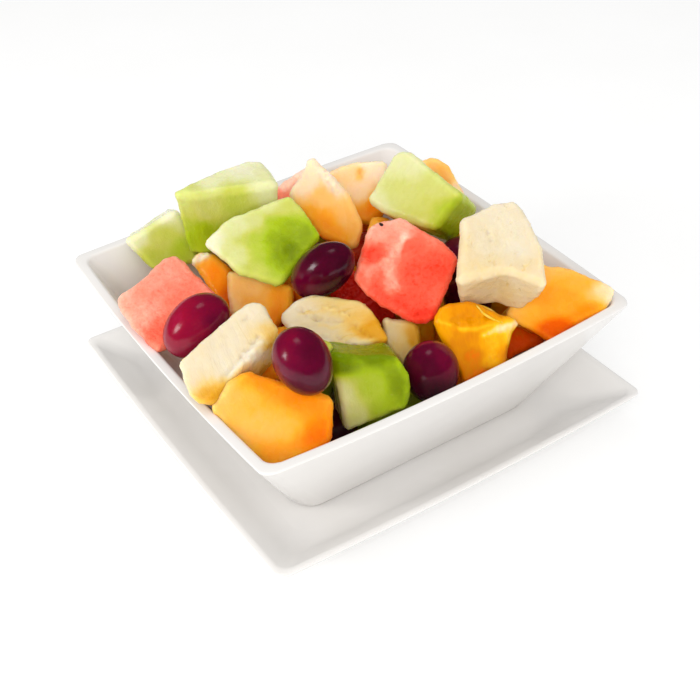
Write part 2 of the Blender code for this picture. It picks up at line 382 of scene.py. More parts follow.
saucer = dish("square_saucer", "saucer", [
    (40.0 * MM, 8 * MM, 1.5 * MM, 0, 0, 0),
    (51.0 * MM, 8 * MM, 1.5 * MM, 0, 0, 0.7 * MM),
    (52.0 * MM, 8 * MM, 0.0, 0, 0, 0.8 * MM),
    (58.4 * MM, 8 * MM, 0.0, 0, 0, 1.0 * MM),
    (59.5 * MM, 8 * MM, 1.8 * MM, 0, 0, 1.0 * MM),
    (saucer_half - 1.6 * MM, 4 * MM, saucer_rim - 2.9 * MM, *rise, 1.2 * MM),
    (saucer_half, 3 * MM, saucer_rim, *rise, 1.1 * MM),
    (saucer_half - 2.3 * MM, 4 * MM, saucer_rim, *rise, 1.1 * MM),
    (64.0 * MM, 7 * MM, 7.6 * MM, 0.4 * MM, 0.3 * MM, 5 * MM),
    (54.0 * MM, 8 * MM, 6.5 * MM, 0, 0, 5 * MM),
    (40.0 * MM, 8 * MM, 6.5 * MM, 0, 0, 0),
])
print("the saucer has", len(saucer.data.polygons), "faces")

# %% [markdown]
# ## The bowl
# The walls run straight out from a small square foot to a flat rim band nearly 4 mm wide. Inside,
# the wall turns into the floor with a wide round, which a potter needs to lift the clay and a
# diner needs to reach the last grape.

# %% The bowl
BOWL_LIFT = 0.8 * MM
BOWL_BOW = 2.3 * MM
WALL = 3.9 * MM
bowl_half = size_of("bowl").x / 2 - BOWL_BOW
bowl_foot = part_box("bowl")[0][2]
bowl_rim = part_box("bowl")[1][2] - BOWL_LIFT
bowl_waist = (bowl_foot + bowl_rim) / 2
foot_half = 50.5 * MM
waist_half = (bowl_half + foot_half) / 2
rise = (BOWL_BOW, BOWL_LIFT)

bowl = dish("square_bowl", "bowl", [
    (34.0 * MM, 8 * MM, bowl_foot + 1.6 * MM, 0, 0, 0),
    (42.0 * MM, 8 * MM, bowl_foot + 1.6 * MM, 0, 0, 0.6 * MM),
    (43.2 * MM, 8 * MM, bowl_foot, 0, 0, 0.7 * MM),
    (foot_half, 9 * MM, bowl_foot, 0, 0, 1.4 * MM),
    (waist_half, 7 * MM, bowl_waist, BOWL_BOW / 2, 0.3 * MM, 6 * MM),
    (bowl_half, 4.2 * MM, bowl_rim, *rise, 0.9 * MM),
    (bowl_half - WALL, 4.2 * MM, bowl_rim, *rise, 0.9 * MM),
    (waist_half - WALL, 8 * MM, bowl_waist, BOWL_BOW / 2, 0.3 * MM, 6 * MM),
    (foot_half - 2.5 * MM, 9 * MM, bowl_foot + 4.2 * MM, 0, 0, 5 * MM),
    (34.0 * MM, 8 * MM, bowl_foot + 4.2 * MM, 0, 0, 0),
])
print("the bowl has", len(bowl.data.polygons), "faces")

# %% [markdown]
# ## From a hewn solid to a piece of fruit
# A cut chunk has flat faces, but none of them is really flat: the knife wanders and the flesh
# swells back. Subdividing the few big faces would stretch their noise. A voxel remesh lays an even
# skin of small faces over the whole piece instead. It dulls the edges, so they are sharpened: the
# skin is smoothed, and every point then goes most of that distance the other way.


# %% An even skin
EDGE_REACH = 7                    # rounds of smoothing that tell where the edges are
EDGE_STRENGTH = 0.8               # how much of what they take off is put on again
SHARP = 0.45 * MM                 # what they take off a real edge


def smooth(bm, times):
    """Draws every point towards the mean of its neighbours, this many times."""
    for _ in range(times):
        bmesh.ops.smooth_vert(bm, verts=bm.verts, factor=0.5,
                              use_axis_x=True, use_axis_y=True, use_axis_z=True)


def sharpen(bm):
    """Brings edges out by part of what smoothing would take off, and stores where they are."""
    before = [point.co.copy() for point in bm.verts]
    bm.normal_update()
    normals = [point.normal.copy() for point in bm.verts]
    smooth(bm, EDGE_REACH)
    edge = bm.verts.layers.float.new("edge")
    for point, place, normal in zip(bm.verts, before, normals):
        point[edge] = min(1.0, max(0.0, (place - point.co).dot(normal) / SHARP))
        point.co = place + (place - point.co) * EDGE_STRENGTH
    smooth(bm, 1)


def even_skin(name, node, voxel):
    """A bmesh of the solid with faces about one voxel wide."""
    bm = bmesh.new()
    bm.from_mesh(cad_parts[node].data)
    bmesh.ops.remove_doubles(bm, verts=bm.verts, dist=WELD)
    block = placed(name, bm)
    remesh = block.modifiers.new("even skin", "REMESH")
    remesh.mode = "VOXEL"
    remesh.voxel_size = voxel
    skin = block.evaluated_get(bpy.context.evaluated_depsgraph_get()).to_mesh()
    bm = bmesh.new()
    bm.from_mesh(skin)
    bpy.data.objects.remove(block)
    sharpen(bm)
    return bm


print("a skin can be laid over any solid")

# %% [markdown]
# ## Uneven faces
# Layers of noise then move each point out or in along its normal. Wide, low lumps are the swell of
# the flesh, and small ones its grain. Cut edges are a little torn, so they get more. Fibrous flesh
# has lumps that are long one way, so the point is first squeezed along its fibres: `grain` holds the
# squeezed place, and the shader reads it too.


# %% Layers of lumps
RAGGED = 0.8 * MM                 # how far cut edges are torn out or in
RAGGED_SIZE = 3.0 * MM            # how wide the tears are
SWELL = 0.35 * MM                 # how far pieces swell, so that they touch each other
STRAIGHT_UP = Vector((0, 0, 1))


def lay_grain(bm, fibre, squeeze):
    """Stores each point's place, turned so that Z runs along the fibre and shrunk that way."""
    layer = bm.verts.layers.float_vector.new("grain")
    turn = fibre.rotation_difference(STRAIGHT_UP)
    for point in bm.verts:
        place = turn @ point.co
        point[layer] = (place.x, place.y, place.z / squeeze)
    return layer


def uneven(bm, layer, lumps):
    """Moves each point along its normal by layers of noise, each a size and a height."""
    edge = bm.verts.layers.float["edge"]
    bm.normal_update()
    moves = []
    for point in bm.verts:
        height = SWELL + RAGGED * point[edge] * noise.noise(point.co / RAGGED_SIZE)
        for size, rise in lumps:
            height += rise * noise.noise(point[layer] / size)
        moves.append(point.normal * height)
    for point, move in zip(bm.verts, moves):
        point.co += move


print("lumps can be laid on a skin")

# %% [markdown]
# ## Ripeness and painted shade across a piece
# Melon flesh isn't one colour: it is pale by the seeds and strong by the rind, so every chunk shows
# a different stretch of that change. The same number also paints light and shade on the piece: it is
# set deeper where the flesh lies in shade and paler where light falls on it. Each piece gets a few
# spots, each saying how far across and up the piece it lies, from -1 to 1, and how deep its colour is
# there, from 0, pale, to 1, deep. Every point takes the mean of the spots, the near ones counting
# most. Streaks run from one place to another and have their own value. The shader turns the stored
# number into colour.


# %% Spots and streaks of ripeness and painted shade
WANDER_SIZE = 6 * MM              # how wide the bends of a patch's border are
WANDER_FINE = 2 * MM              # and how wide the finer ones, half as deep
SOFTNESS = 0.02                   # how gently one spot passes into the next
SEED = 3
noise.seed_set(SEED)              # or each run would bend the borders in another way


def seen(points):
    """How far across and up their piece the points lie, from -1 to 1."""
    return zip(share_of([point.co.dot(ACROSS) for point in points]),
               share_of([point.co.dot(UPWARD) for point in points]))


def store_ripeness_and_shade(bm, spots, streaks, wander):
    """Stores how deep the colour is at each point, for ripeness and painted shade, with borders that
    wander this far.
    """
    # The stored number holds ripeness and painted shade together: deeper where a piece lies in shade,
    # paler where light falls on it.
    layer = bm.verts.layers.float.new("ripe")
    for point, (u, v) in zip(bm.verts, seen(bm.verts)):
        bend = noise.noise_vector(point.co / WANDER_SIZE)
        bend = bend + 0.5 * noise.noise_vector(point.co / WANDER_FINE)
        u, v = u + wander * bend.x, v + wander * bend.y
        weights = [1 / ((u - x) ** 2 + (v - y) ** 2 + SOFTNESS) ** 2 for x, y, _ in spots]
        ripe = sum(w * spot[2] for w, spot in zip(weights, spots)) / sum(weights)
        for start, end, width, value in streaks:
            near = math.exp(-(distance_to((u, v), start, end) / width) ** 2)
            ripe += near * (value - ripe)
        point[layer] = ripe


def share_of(places):
    """The places as shares from -1, the least of them, to 1, the greatest."""
    low, high = min(places), max(places)
    return [2 * (place - low) / (high - low) - 1 for place in places]


def distance_to(place, start, end):
    """How far a place lies from the line between two others."""
    run = Vector(end) - Vector(start)
    along = (Vector(place) - Vector(start)).dot(run) / max(run.length_squared, 1e-9)
    return (Vector(start) + run * min(1.0, max(0.0, along)) - Vector(place)).length


print("ripeness can be stored on a mesh")

# %% [markdown]
# ## Dents and humps
# A spoon, a seed or a torn fibre leaves a hollow, and pith leaves a hump. Each is a place on the
# piece, as seen, a width and a height, and only points that face the viewer move.


# %% Dents and humps
TORN = 1.5                        # how ragged a mark is
TORN_SIZE = 1.5 * MM              # how wide its rags are


def dent(bm, marks):
    """Presses hollows into a piece and raises humps on it."""
    moves = []
    for point, (u, v) in zip(bm.verts, seen(bm.verts)):
        height = 0.0
        torn = 1 + TORN * noise.noise(point.co / TORN_SIZE)
        for start, end, width, rise in marks:
            height += torn * rise * math.exp(-(distance_to((u, v), start, end) / width) ** 2)
        moves.append(point.normal * height * max(0.0, point.normal.dot(FACING)))
    for point, move in zip(bm.verts, moves):
        point.co += move


print("marks can be pressed into a piece")

# %% [markdown]
# ## Drawn-out corners
# The knife left some corners longer than others. A pull works as a grab brush does: it takes the
# points near a place on the piece and draws them across and up, the nearest ones furthest.


# %% Pulls
def pull(bm, pulls):
    """Draws the points near each place across and up."""
    for point, (u, v) in zip(bm.verts, seen(bm.verts)):
        for x, y, width, right, up in pulls:
            near = math.exp(-((u - x) ** 2 + (v - y) ** 2) / width ** 2)
            point.co += near * (right * ACROSS + up * UPWARD)


print("corners can be drawn out")

# %% [markdown]
# ## A piece of fruit
# Each kind of fruit has its own skin: how fine it is, how far the borders of its ripeness wander,
# how long its fibres draw the lumps, and how wide and high those are. The table keeps that
# together, and `fruit_piece` uses it.

# %% The kinds of flesh
FLESH = {
    "honeydew": {"voxel": 0.8 * MM, "wander": 0.06, "squeeze": 1.6,
                 "lumps": [(16 * MM, 0.8 * MM), (5 * MM, 0.22 * MM), (1.8 * MM, 0.05 * MM)]},
    "cantaloupe": {"voxel": 0.8 * MM, "wander": 0.08, "squeeze": 1.6,
                   "lumps": [(15 * MM, 0.9 * MM), (5 * MM, 0.28 * MM), (1.8 * MM, 0.05 * MM)]},
    "watermelon": {"voxel": 0.7 * MM, "wander": 0.12, "squeeze": 1.0,
                   "lumps": [(14 * MM, 0.9 * MM), (4 * MM, 0.46 * MM), (1.6 * MM, 0.2 * MM)]},
    "pineapple": {"voxel": 0.7 * MM, "wander": 0.1, "squeeze": 5.0,
                  "lumps": [(13 * MM, 0.8 * MM), (2.6 * MM, 0.22 * MM), (1.1 * MM, 0.07 * MM)]},
    "orange": {"voxel": 0.6 * MM, "wander": 0.06, "squeeze": 3.0,
               "lumps": [(8 * MM, 0.9 * MM), (2.6 * MM, 0.45 * MM), (1.1 * MM, 0.12 * MM)]},
}


def fruit_piece(node, kind, spots, streaks=(), marks=(), pulls=(), fibre=STRAIGHT_UP, coarse=1.0):
    """The shown piece for one solid: an uneven skin with its ripeness, its painted shade and its finish.
    """
    flesh = FLESH[kind]
    bm = even_skin("cut_" + node, node, flesh["voxel"] * coarse)
    pull(bm, pulls)
    layer = lay_grain(bm, fibre, flesh["squeeze"])
    uneven(bm, layer, flesh["lumps"])
    dent(bm, marks)
    store_ripeness_and_shade(bm, spots, streaks, flesh["wander"])
    return finished("cut_" + node, bm, FINISHES[kind], node)


print("kinds of flesh:", ", ".join(FLESH))

# %% [markdown]
# ## Finishes for the flesh
# Light goes into fruit and comes out a few millimetres away, which softens the shading and makes
# thin parts glow: that is subsurface scattering, with a radius for red, green and blue. The colour
# is a ramp over the stored ripeness and painted shade, and noise along the grain shifts it a little
# from place to place. In the melon and pineapple flesh the cut edges are made paler as well, a
# painted glow of light through the thin flesh there. Cut fruit is wet, so its roughness is low, and
# it changes from place to place as juice gathers.

# %% The ramps
RAMPS = {
    "honeydew": [(0.00, screen(225, 223, 191)), (0.28, screen(209, 210, 144)),
                 (0.52, screen(195, 198, 92)), (0.78, screen(166, 187, 25)),
                 (1.00, screen(115, 134, 0))],
    "cantaloupe": [(0.00, screen(255, 222, 191)), (0.28, screen(255, 197, 119)),
                   (0.55, screen(255, 172, 48)), (0.80, screen(247, 140, 8)),
                   (1.00, screen(224, 92, 0))],
    "watermelon": [(0.00, screen(247, 212, 189)), (0.30, screen(247, 160, 136)),
                   (0.55, screen(247, 111, 84)), (0.80, screen(243, 63, 38)),
                   (1.00, screen(182, 14, 0))],
    "pineapple": [(0.00, screen(222, 212, 190)), (0.28, screen(220, 202, 163)),
                  (0.55, screen(223, 194, 126)), (0.80, screen(220, 174, 78)),
                  (1.00, screen(212, 153, 34))],
    "orange": [(0.00, screen(244, 216, 164)), (0.30, screen(244, 191, 29)),
               (0.55, screen(233, 160, 0)), (0.78, screen(214, 128, 0)),
               (1.00, screen(248, 88, 0))],
}
print("ramps for", ", ".join(RAMPS))

# %% [markdown]
# Honeydew and cantaloupe have fine, soft flesh: a faint streak along the grain and a fine pore.


# %% Melon flesh
WATER = 1.33                      # how much juice bends light


def soft_flesh(kind, scatter):
    melon = Finish(kind + " flesh", Subsurface_Weight=0.8, Subsurface_Scale=5 * MM,
                   Subsurface_Radius=scatter, IOR=WATER, Specular_IOR_Level=0.4)
    grain = melon.stored("grain", "Vector")
    streak = melon.noise(grain, 2.2 * MM, detail=4.0)
    cloud = melon.noise(grain, 9 * MM, detail=2.0)
    ripe = melon.stored("ripe") + 0.16 * (cloud - 0.5) + 0.10 * (streak - 0.5)
    # Paler along the cut edges: a painted glow of light through the thin flesh.
    ripe = ripe - 0.10 * melon.stored("edge")
    wet = melon.noise(grain, 5 * MM).between(0.35, 0.65)
    melon.surface(Base_Color=melon.ramp(ripe, RAMPS[kind]), Roughness=0.34 - 0.16 * wet)
    pores = melon.noise(melon.where(), 0.7 * MM, detail=3.0)
    melon.bump(pores * 0.5 + streak, 0.22 * MM)
    return melon.material


print("soft flesh can be made")

# %% [markdown]
# Watermelon is a heap of big juicy cells, so a cut face glitters like wet sugar. Voronoi cells give
# that grain, and noise in two sizes makes some places riper and others paler.


# %% Watermelon flesh
def grainy_flesh():
    melon = Finish("watermelon flesh", Subsurface_Weight=0.7, Subsurface_Scale=4 * MM,
                   Subsurface_Radius=(1.0, 0.35, 0.25), IOR=WATER, Specular_IOR_Level=0.4)
    place = melon.where()
    crumbs = melon.cells(place, 1.3 * MM)
    cloud = melon.noise(place, 6 * MM, detail=4.0)
    fleck = melon.noise(place, 1.7 * MM, detail=3.0)
    ripe = melon.stored("ripe") + 0.24 * (cloud - 0.5) + 0.14 * (fleck - 0.5)
    # The last term makes cut edges paler: a painted glow of light through the thin flesh.
    ripe = ripe + 0.06 * (0.5 - crumbs) - 0.16 * melon.stored("edge")
    melon.surface(Base_Color=melon.ramp(ripe, RAMPS["watermelon"]),
                  Roughness=0.40 - 0.2 * fleck.between(0.4, 0.7))
    melon.bump(fleck - 0.4 * crumbs, 0.5 * MM)
    return melon.material


print("grainy flesh can be made")

# %% [markdown]
# Pineapple is bundles of fibre that run out from the core, cut across or along. Noise squeezed
# along the fibres draws them, and a wider cloud makes some parts riper.


# %% Pineapple flesh
def fibrous_flesh():
    pine = Finish("pineapple flesh", Subsurface_Weight=0.8, Subsurface_Scale=4 * MM,
                  Subsurface_Radius=(1.0, 0.8, 0.4), IOR=WATER, Specular_IOR_Level=0.4)
    grain = pine.stored("grain", "Vector")
    fibres = pine.noise(grain, 1.1 * MM, detail=4.0, rough=0.6)
    cloud = pine.noise(pine.where(), 7 * MM, detail=3.0)
    slits = pine.noise(grain, 3.2 * MM, detail=2.0).between(0.62, 0.72)
    ripe = pine.stored("ripe") + 0.26 * (cloud - 0.5) + 0.14 * (fibres - 0.5)
    # The last term makes cut edges paler: a painted glow of light through the thin flesh.
    ripe = ripe + 0.10 * slits - 0.10 * pine.stored("edge")
    pine.surface(Base_Color=pine.ramp(ripe, RAMPS["pineapple"]),
                 Roughness=0.40 - 0.2 * cloud.between(0.4, 0.6))
    pine.bump(0.7 * fibres + 0.4 * cloud - 0.5 * slits, 0.3 * MM)
    return pine.material


print("fibrous flesh can be made")

# %% [markdown]
# Orange flesh is packed juice sacs, long drops that point at the middle of the fruit, each in a
# thin clear skin. Voronoi cells squeezed along the grain draw them: a sac is deep in its middle
# and pale at its skin, and it stands up as a small rounded ridge.


# %% Orange flesh
def juicy_flesh():
    orange = Finish("orange flesh", Subsurface_Weight=0.5, Subsurface_Scale=2.5 * MM,
                    Subsurface_Radius=(1.0, 0.6, 0.3), IOR=WATER, Specular_IOR_Level=0.5)
    grain = orange.stored("grain", "Vector")
    bent = orange.add("ShaderNodeVectorMath", {"operation": "MULTIPLY_ADD"},
                      {0: orange.noise_colour(grain, 3 * MM), 1: (4 * MM,) * 3, 2: grain})
    sacs = orange.cells(bent, 2.0 * MM)
    skins = 1 - orange.cells(bent, 2.0 * MM, "DISTANCE_TO_EDGE").between(0.0, 0.18)
    cloud = orange.noise(orange.where(), 5 * MM, detail=3.0)
    ripe = orange.stored("ripe") + 0.22 * (cloud - 0.5) - 0.03 * skins + 0.04 * (0.5 - sacs)
    orange.surface(Base_Color=orange.ramp(ripe, RAMPS["orange"]), Roughness=0.12 + 0.16 * cloud)
    orange.bump(0.8 * cloud - 0.6 * sacs, 0.3 * MM)
    return orange.material


print("juicy flesh can be made")

# %% [markdown]
# All the finishes are made once and kept by the kind of fruit.

# %% The finishes
FINISHES = {
    "honeydew": soft_flesh("honeydew", (0.7, 1.0, 0.3)),
    "cantaloupe": soft_flesh("cantaloupe", (1.0, 0.55, 0.15)),
    "watermelon": grainy_flesh(),
    "pineapple": fibrous_flesh(),
    "orange": juicy_flesh(),
}
print("finishes:", [finish.name for finish in FINISHES.values()])

# %% [markdown]
# ## Honeydew
# The rind side is vivid green and the seed side nearly cream, and most chunks show both.

# %% Honeydew
fruit_piece("honeydew_far_left", "honeydew", [
    (-0.7, 0.0, 0.10), (0.2, 0.8, 0.02), (0.1, 0.0, 0.52), (0.6, -0.3, 0.72),
    (-0.2, -0.7, 0.62), (0.9, 0.4, 0.40)])
fruit_piece("honeydew_big_back", "honeydew", [
    (0.2, 0.85, 0.05), (-0.3, 0.6, 0.14), (-0.8, 0.3, 0.44), (-0.4, -0.1, 0.44),
    (0.1, 0.1, 0.58), (0.8, 0.4, 0.20), (0.0, -0.7, 0.78), (-0.5, -0.6, 0.80)],
    pulls=[(0.9, 0.5, 0.4, 1.5 * MM, 0.0)])
# Its deepest green, at the lower right, is partly painted shade from the grape above it.
fruit_piece("honeydew_left", "honeydew", [
    (-0.95, 0.0, 0.0), (-0.4, 0.35, 0.22), (-0.4, -0.3, 0.28), (-0.1, 0.45, 0.34), (-0.1, 0.05, 0.70),
    (0.17, 0.4, 0.80), (0.17, 0.05, 0.90), (0.45, 0.4, 0.86), (0.45, -0.2, 1.0), (0.15, 0.78, 0.28),
    (0.45, 0.78, 0.50), (-0.1, -0.3, 0.70), (0.2, -0.35, 0.88), (-0.1, -0.65, 0.54), (0.7, 0.1, 0.88)],
    pulls=[(-0.9, 0.0, 0.3, -1.0 * MM, 0.0), (0.9, 0.1, 0.4, 1.0 * MM, 0.5 * MM)])
fruit_piece("honeydew_right", "honeydew", [
    (-0.3, 0.7, 0.20), (-0.4, 0.0, 0.42), (-0.2, -0.5, 0.46), (0.3, 0.1, 0.44),
    (0.6, -0.4, 0.76), (0.5, -0.9, 0.92), (0.6, 0.3, 0.46), (-0.9, -0.2, 0.22)],
    pulls=[(0.9, -0.3, 0.3, 1.5 * MM, -0.5 * MM)])
# Its deepest green, along the top under the pineapple, is partly painted shade.
fruit_piece("honeydew_front", "honeydew", [
    (0.2, 0.8, 1.1), (-0.7, 0.55, 1.1), (0.15, 0.05, 0.72), (0.8, 0.1, 0.94),
    (0.3, -0.6, 0.77), (-0.7, -0.6, 0.20), (-0.6, -0.2, 0.32), (-0.3, -0.7, 0.38)],
    pulls=[(-0.9, 0.7, 0.4, -1.0 * MM, 1.0 * MM), (0.4, 0.9, 0.4, 0.5 * MM, 1.5 * MM)])
print("honeydew is cut")

# %% [markdown]
# ## Cantaloupe
# Its flesh runs from peach by the seeds to a strong orange by the rind.

# %% Cantaloupe
# Its upper part is set paler than the palest flesh: painted light falling on it from behind. The white
# pith lump along its ridge is the flesh's own colour.
fruit_piece("cantaloupe_tip", "cantaloupe", [
    (-0.4, 0.9, -0.1), (-0.6, 0.4, 0.02), (0.0, 0.1, 0.30), (-0.5, -0.3, 0.62),
    (0.2, -0.8, 0.64), (0.7, -0.3, 0.38), (0.95, -0.8, 0.42), (0.3, 0.4, 0.1), (-0.1, -0.4, 0.66)],
    streaks=[((0.05, 0.62), (0.3, 0.32), 0.10, -0.35)],
    marks=[((0.02, 0.66), (0.32, 0.30), 0.09, 1.3 * MM)],
    pulls=[(-0.38, 1.0, 0.22, 0.0, 0.9 * MM), (-0.9, 0.0, 0.5, -1.6 * MM, 0.0)])
fruit_piece("cantaloupe_back", "cantaloupe", [
    (0.5, 0.8, 0.03), (-0.4, 0.5, 0.16), (0.1, 0.1, 0.10), (0.5, -0.5, 0.80),
    (0.0, -0.85, 0.66)],
    streaks=[((0.05, 0.55), (0.1, 0.65), 0.14, 0.42)],
    marks=[((0.05, 0.55), (0.1, 0.65), 0.14, -0.8 * MM)])
fruit_piece("cantaloupe_far_right", "cantaloupe", [
    (-0.4, 0.5, 0.34), (0.2, 0.2, 0.42), (0.7, -0.4, 0.18), (-0.8, 0.6, 0.28)])
fruit_piece("cantaloupe_sunk_left", "cantaloupe", [
    (-0.6, 0.8, 0.62), (0.0, 0.2, 0.80), (0.6, -0.7, 0.92)],
    streaks=[((-0.9, 0.7), (-0.4, 0.95), 0.16, -0.2)],
    marks=[((-0.9, 0.7), (-0.4, 0.95), 0.18, 1.2 * MM)])
fruit_piece("cantaloupe_left", "cantaloupe", [
    (-0.9, 0.0, 0.22), (-0.3, 0.5, 0.36), (-0.1, 0.0, 0.48), (0.5, -0.5, 0.78),
    (0.8, 0.2, 0.66)], pulls=[(0.0, -0.9, 0.5, 0.0, -1.5 * MM)])
fruit_piece("cantaloupe_front", "cantaloupe", [
    (-0.85, 0.45, 0.40), (-0.1, 0.8, 0.80), (0.5, 0.6, 0.84), (-0.35, -0.1, 0.46), (-0.4, 0.4, 0.50),
    (0.1, -0.1, 0.48), (0.8, 0.3, 0.76), (0.8, -0.4, 0.92), (0.1, -0.9, 0.64),
    (-0.6, -0.3, 0.50)],
    pulls=[(-0.8, -0.2, 0.6, -2.0 * MM, -1.2 * MM), (-0.2, -0.9, 0.6, -1.0 * MM, -2.2 * MM),
           (0.6, -0.9, 0.4, 0.0, -1.2 * MM)])
fruit_piece("cantaloupe_right", "cantaloupe", [
    (-0.9, -0.1, 0.50), (-0.35, 0.85, 0.42), (0.0, 0.1, 0.66), (0.4, 0.5, 0.54),
    (0.9, 0.3, 0.10), (0.0, -0.85, 1.06), (0.6, -0.4, 0.80)],
    pulls=[(-0.9, -0.4, 0.6, -3.0 * MM, -1.0 * MM), (-0.2, -0.9, 0.4, -0.5 * MM, -1.5 * MM),
           (0.9, -0.1, 0.4, 1.0 * MM, -0.6 * MM)])
print("cantaloupe is cut")

# %% [markdown]
# ## Watermelon
# The big chunk shows a pale fibrous fork, the heart of the melon, between its red sides.

# %% Watermelon
fruit_piece("watermelon_left", "watermelon", [
    (-0.1, 0.6, 0.38), (-0.85, 0.2, 0.26), (-0.4, 0.1, 0.42), (-0.5, -0.2, 0.32),
    (-0.2, -0.75, 0.58), (0.6, 0.3, 0.48), (0.2, 0.2, 0.50)],
    pulls=[(-0.9, -0.3, 0.6, -1.6 * MM, -0.8 * MM), (-0.1, -0.9, 0.5, -0.8 * MM, -1.4 * MM)])
fruit_piece("watermelon_big", "watermelon", [
    (-0.5, 0.7, 0.34), (0.0, 0.9, 0.28), (0.5, 0.6, 0.56), (0.2, 0.4, 0.62), (0.45, 0.1, 0.74),
    (0.9, 0.2, 0.70), (0.4, -0.5, 0.70), (0.3, -0.95, 0.88), (-0.9, 0.0, 0.55),
    (-0.4, -0.55, 0.76), (-0.6, 0.25, 0.80)],
    streaks=[((-0.02, 0.60), (-0.18, 0.36), 0.09, 0.10), ((-0.18, 0.36), (-0.45, 0.12), 0.11, 0.28),
             ((-0.45, 0.12), (-0.8, -0.02), 0.12, 0.42), ((-0.28, 0.1), (-0.24, -0.3), 0.15, 0.30)],
    marks=[((-0.04, 0.58), (-0.45, 0.12), 0.10, 0.9 * MM), ((-0.28, 0.2), (-0.24, -0.4), 0.12, 0.7 * MM),
           ((0.3, 0.05), (0.34, 0.09), 0.05, -1.2 * MM), ((-0.8, 0.25), (-0.6, 0.22), 0.08, -1.0 * MM),
           ((0.38, -0.35), (0.36, -0.5), 0.05, -1.1 * MM), ((0.12, 0.0), (0.16, -0.2), 0.06, -0.8 * MM)])
# It is set to the darkest red all over, partly painted shade, as it lies low between the other pieces.
fruit_piece("watermelon_low", "watermelon", [(-0.5, 0.5, 0.98), (0.5, -0.5, 1.0)])
fruit_piece("watermelon_back", "watermelon", [
    (0.3, 0.5, -0.1), (-0.3, 0.0, 0.10), (-0.7, -0.6, 0.45)])
print("watermelon is cut")

# %% [markdown]
# ## Pineapple
# Cream and firm, with fibres that run out from the core and a translucent yellow edge, partly riper
# flesh and partly a painted glow of light through it.

# %% Pineapple
fruit_piece("pineapple_right", "pineapple", [
    (0.0, 0.8, 0.08), (-0.3, 0.3, 0.18), (0.4, 0.3, 0.10), (-0.8, -0.2, 0.30),
    (-0.2, -0.6, 0.34), (0.5, -0.5, 0.28), (0.1, -0.9, 0.45)],
    marks=[((-0.15, 0.25), (-0.2, 0.4), 0.05, -0.6 * MM)],
    pulls=[(0.75, -0.8, 0.4, 2.2 * MM, -1.2 * MM), (-0.85, 0.75, 0.25, -1.5 * MM, 0.5 * MM)],
    fibre=Vector((0.5, 0.2, 0.8)))
# Its deep yellow right and lower sides are partly a painted glow of light through the flesh.
fruit_piece("pineapple_long", "pineapple", [
    (-0.8, -0.2, 0.12), (0.0, 0.3, 0.15), (0.5, 0.9, 0.12), (-0.1, -0.2, 0.10),
    (0.6, -0.05, 0.05), (0.9, 0.2, 0.85), (0.7, -0.3, 0.9), (0.3, -0.6, 1.0), (-0.15, -0.75, 1.0)],
    streaks=[((0.1, -0.35), (0.65, 0.25), 0.10, 0.0)],
    marks=[((-0.1, -0.45), (0.6, 0.35), 0.05, -0.8 * MM), ((0.1, -0.4), (0.7, 0.2), 0.08, 0.6 * MM),
           ((0.3, 0.65), (0.38, 0.72), 0.05, -0.6 * MM)],
    pulls=[(-0.7, -0.7, 0.5, -1.5 * MM, -1.5 * MM), (0.0, -1.0, 0.5, 0.0, -1.5 * MM)],
    fibre=Vector((0.2, 0.9, 0.3)))
fruit_piece("pineapple_middle", "pineapple", [
    (-0.8, 0.3, 0.16), (-0.2, 0.0, 0.36), (0.2, 0.6, 0.58), (0.5, 0.1, 0.72),
    (0.8, -0.2, 1.1), (1.0, -0.4, 1.1), (0.3, -0.8, 0.36), (-0.5, -0.6, 0.12)],
    streaks=[((-0.55, 0.35), (-0.1, 0.5), 0.07, 0.55), ((-0.3, -0.1), (0.1, -0.2), 0.06, 0.5)],
    marks=[((-0.6, 0.45), (-0.3, 0.15), 0.09, -0.9 * MM), ((-0.3, 0.15), (0.1, 0.05), 0.07, -0.8 * MM),
           ((-0.1, 0.5), (0.3, 0.2), 0.10, 0.7 * MM), ((0.1, -0.5), (0.4, -0.9), 0.06, -0.9 * MM),
           ((0.4, -0.1), (0.7, -0.5), 0.07, -0.8 * MM), ((-0.5, -0.3), (-0.1, -0.45), 0.09, 0.6 * MM)],
    fibre=Vector((0.9, -0.3, 0.2)))
fruit_piece("pineapple_small", "pineapple", [
    (-0.6, 0.3, 0.44), (0.0, -0.2, 0.58), (0.8, 0.2, 1.0)], fibre=Vector((0.3, 0.2, 0.9)))
print("pineapple is cut")

# %% [markdown]
# ## Orange
# One chunk shows its segments side by side, with the thin pale skin between them. The smaller
# bits lie deeper.

# %% Orange
# Its right side is set paler yellow, partly painted light falling on it there.
fruit_piece("orange_piece", "orange", [
    (-0.4, 0.9, 0.74), (-0.75, 0.4, 0.60), (-0.3, 0.1, 0.72), (-0.1, -0.4, 0.84), (0.4, -0.05, 0.46),
    (0.3, -0.45, 0.48), (0.7, -0.35, 0.74), (0.1, -0.85, 0.90), (0.5, 0.6, 0.66)],
    streaks=[((0.16, 0.18), (0.6, 0.34), 0.07, 0.2), ((0.6, 0.34), (0.98, 0.44), 0.15, 0.04),
             ((-0.42, 0.28), (0.42, 0.41), 0.05, 0.38), ((0.8, 0.3), (0.75, 0.0), 0.09, 0.25),
             ((-0.85, 0.5), (-0.6, 0.38), 0.04, 0.36)],
    marks=[((0.16, 0.16), (0.98, 0.44), 0.11, 0.6 * MM), ((-0.42, 0.28), (0.42, 0.41), 0.05, 0.4 * MM),
           ((-0.5, 0.5), (0.3, 0.6), 0.12, -0.9 * MM), ((0.45, 0.0), (0.35, -0.5), 0.16, 0.5 * MM)],
    pulls=[(0.95, 0.45, 0.22, 1.2 * MM, 0.6 * MM)],
    fibre=Vector((0.36, 0.6, 0.7)))
fruit_piece("orange_strip", "orange", [(-0.5, 0.5, 0.45), (0.3, -0.6, 0.80)])
